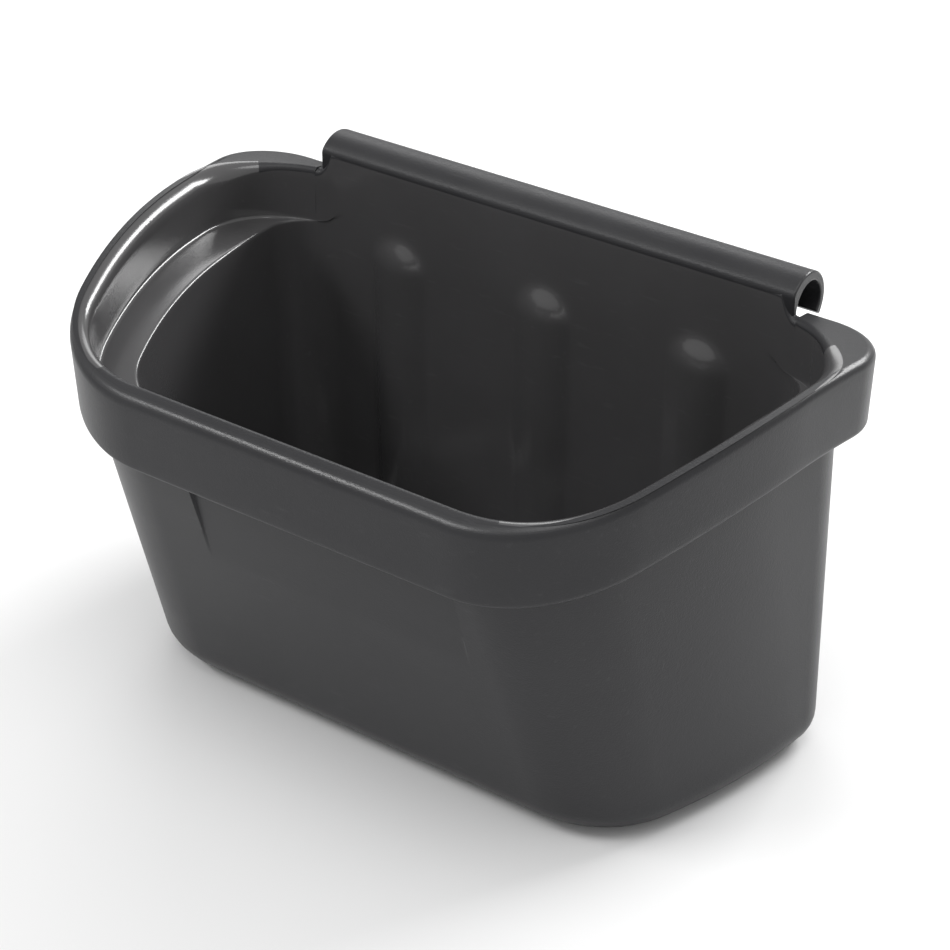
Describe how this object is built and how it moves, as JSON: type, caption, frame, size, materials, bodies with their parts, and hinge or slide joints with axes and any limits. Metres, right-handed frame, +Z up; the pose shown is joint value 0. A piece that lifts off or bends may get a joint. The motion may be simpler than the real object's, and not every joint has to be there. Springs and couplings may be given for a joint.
{
  "type": "hook-over bin",
  "caption": "Open moulded plastic bin with a stepped, bowed rim, three ribs inside its back wall and a long open channel at the back that hangs it on a rail.",
  "frame": {"origin": "under the middle of the overall box, on the surface that the flat base rests on", "axes": "+X along the length, to the right when facing the front; +Y from the front to the channel at the back; +Z up"},
  "size_m": [0.3416, 0.2139, 0.214],
  "materials": {
    "plastic": "fine-grained satin, charcoal black"
  },
  "bodies": {
    "root": {"floor_pan": "plastic", "front_wall": "plastic", "back_wall": "plastic", "front_left_corner": "plastic", "front_right_corner": "plastic", "left_end_wall": "plastic", "right_end_wall": "plastic", "back_left_corner": "plastic", "back_right_corner": "plastic", "front_rim": "plastic", "left_end_rim": "plastic", "right_end_rim": "plastic", "front_left_rim": "plastic", "front_right_rim": "plastic", "back_left_rim": "plastic", "back_right_rim": "plastic", "back_panel": "plastic", "rail_channel": "plastic", "left_rib": "plastic", "middle_rib": "plastic", "right_rib": "plastic"}
  },
  "joints": []
}
